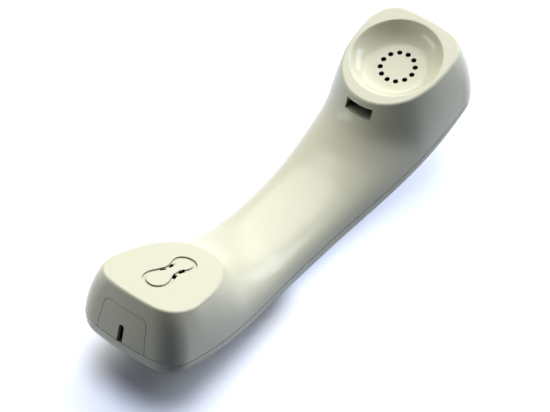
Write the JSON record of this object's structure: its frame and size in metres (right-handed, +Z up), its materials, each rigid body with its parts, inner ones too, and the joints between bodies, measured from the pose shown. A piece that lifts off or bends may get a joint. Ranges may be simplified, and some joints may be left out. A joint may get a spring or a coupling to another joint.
{
  "type": "telephone handset",
  "caption": "Corded desk telephone handset with a dished earpiece, flat mouthpiece face, curved grip and a removable cord cover, with its receiver, microphone and weight inside.",
  "frame": {"origin": "middle of the bounding box on the flat of the belly that the handset rests on, lying on its back", "axes": "+X from the mouthpiece to the earpiece, +Y across the handle, +Z up, out of the two faces"},
  "size_m": [0.2052, 0.0516, 0.0549],
  "materials": {
    "shell_plastic": "semi-gloss moulded ABS, ivory",
    "cover_plastic": "semi-gloss moulded ABS, ivory",
    "screw_steel": "zinc-plated thread-forming screw",
    "weight_steel": "sheared steel bar with tumbled edges",
    "dust_cloth": "fine woven polyester mesh",
    "gasket_rubber": "die-cut soft rubber",
    "receiver_plastic": "black moulded thermoplastic",
    "diaphragm_film": "thin formed polyester film",
    "coil_copper": "enamelled copper wire",
    "yoke_steel": "zinc-plated pressed steel",
    "magnet": "nickel-plated sintered magnet",
    "board": "phenolic circuit board",
    "varistor_epoxy": "dipped epoxy",
    "foam": "open-cell polyurethane foam",
    "boot_rubber": "moulded soft rubber",
    "felt": "thin black felt",
    "mic_can": "drawn aluminium can",
    "socket_plastic": "black moulded thermoplastic",
    "contact_gold": "gold-plated phosphor bronze wire",
    "lead_pvc": "extruded twin lead"
  },
  "bodies": {
    "handset": {"front_shell": "shell_plastic", "rear_shell": "shell_plastic", "case_screws": "screw_steel", "handset_weight": "weight_steel", "receiver_dust_cloth": "dust_cloth", "receiver_gasket": "gasket_rubber", "receiver_front_cap": "receiver_plastic", "receiver_frame": "receiver_plastic", "receiver_yoke": "yoke_steel", "receiver_magnet": "magnet", "receiver_pole_plate": "yoke_steel", "receiver_terminals": "board", "varistor": "varistor_epoxy", "receiver_foam_pad": "foam", "mic_dust_cloth": "dust_cloth", "mic_boot": "boot_rubber", "mic_felt": "felt", "mic_capsule": "mic_can", "mic_terminal_board": "board", "cord_socket": "socket_plastic", "socket_contacts": "contact_gold", "receiver_lead": "lead_pvc", "mic_lead": "lead_pvc"},
    "cover": {"cord_cover": "cover_plastic"},
    "piston": {"receiver_diaphragm": "diaphragm_film", "voice_coil": "coil_copper"}
  },
  "joints": [
    {"name": "cord_cover_slide", "type": "slide", "parent": "handset", "child": "cover", "axis": [-1, 0, 0], "range_m": [0, 0.014]},
    {"name": "receiver_piston", "type": "slide", "parent": "handset", "child": "piston", "axis": [-0.2096, 0, 0.9778], "range_m": [-0.0003, 0.0003], "stiffness_N_per_m": 200}
  ]
}
